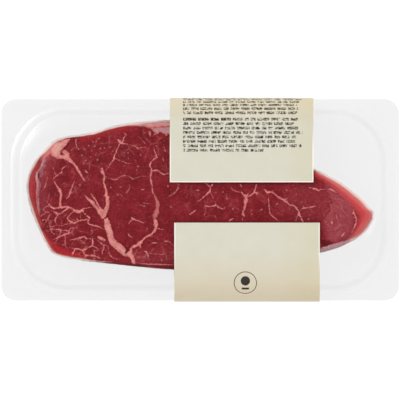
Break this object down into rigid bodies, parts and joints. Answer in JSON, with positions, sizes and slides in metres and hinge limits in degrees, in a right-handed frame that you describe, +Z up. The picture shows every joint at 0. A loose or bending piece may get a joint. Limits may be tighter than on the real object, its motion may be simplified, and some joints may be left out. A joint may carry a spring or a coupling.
{
  "type": "packed sirloin tip steak",
  "caption": "Raw sirloin tip steak, flat and tapering to a tip, sealed between a shallow clear tray and a clear skin film, with a cream card sleeve wrapped round the pack.",
  "frame": {"origin": "centre of the bounding box's underside, on the surface that the pack lies on", "axes": "+X along the pack towards the steak's tip, +Y across it towards the upper flap, +Z up out of the tray's floor"},
  "size_m": [0.239, 0.1222, 0.024],
  "materials": {
    "raw_beef": null,
    "clear_tray": "clear thermoformed polyester, glossy",
    "clear_film": "clear skin film, glossy",
    "cream_card": "matt uncoated cream card with dark print"
  },
  "bodies": {
    "root": {"steak": "raw_beef", "tray": "clear_tray", "skin_film": "clear_film", "sleeve": "cream_card"}
  },
  "joints": []
}
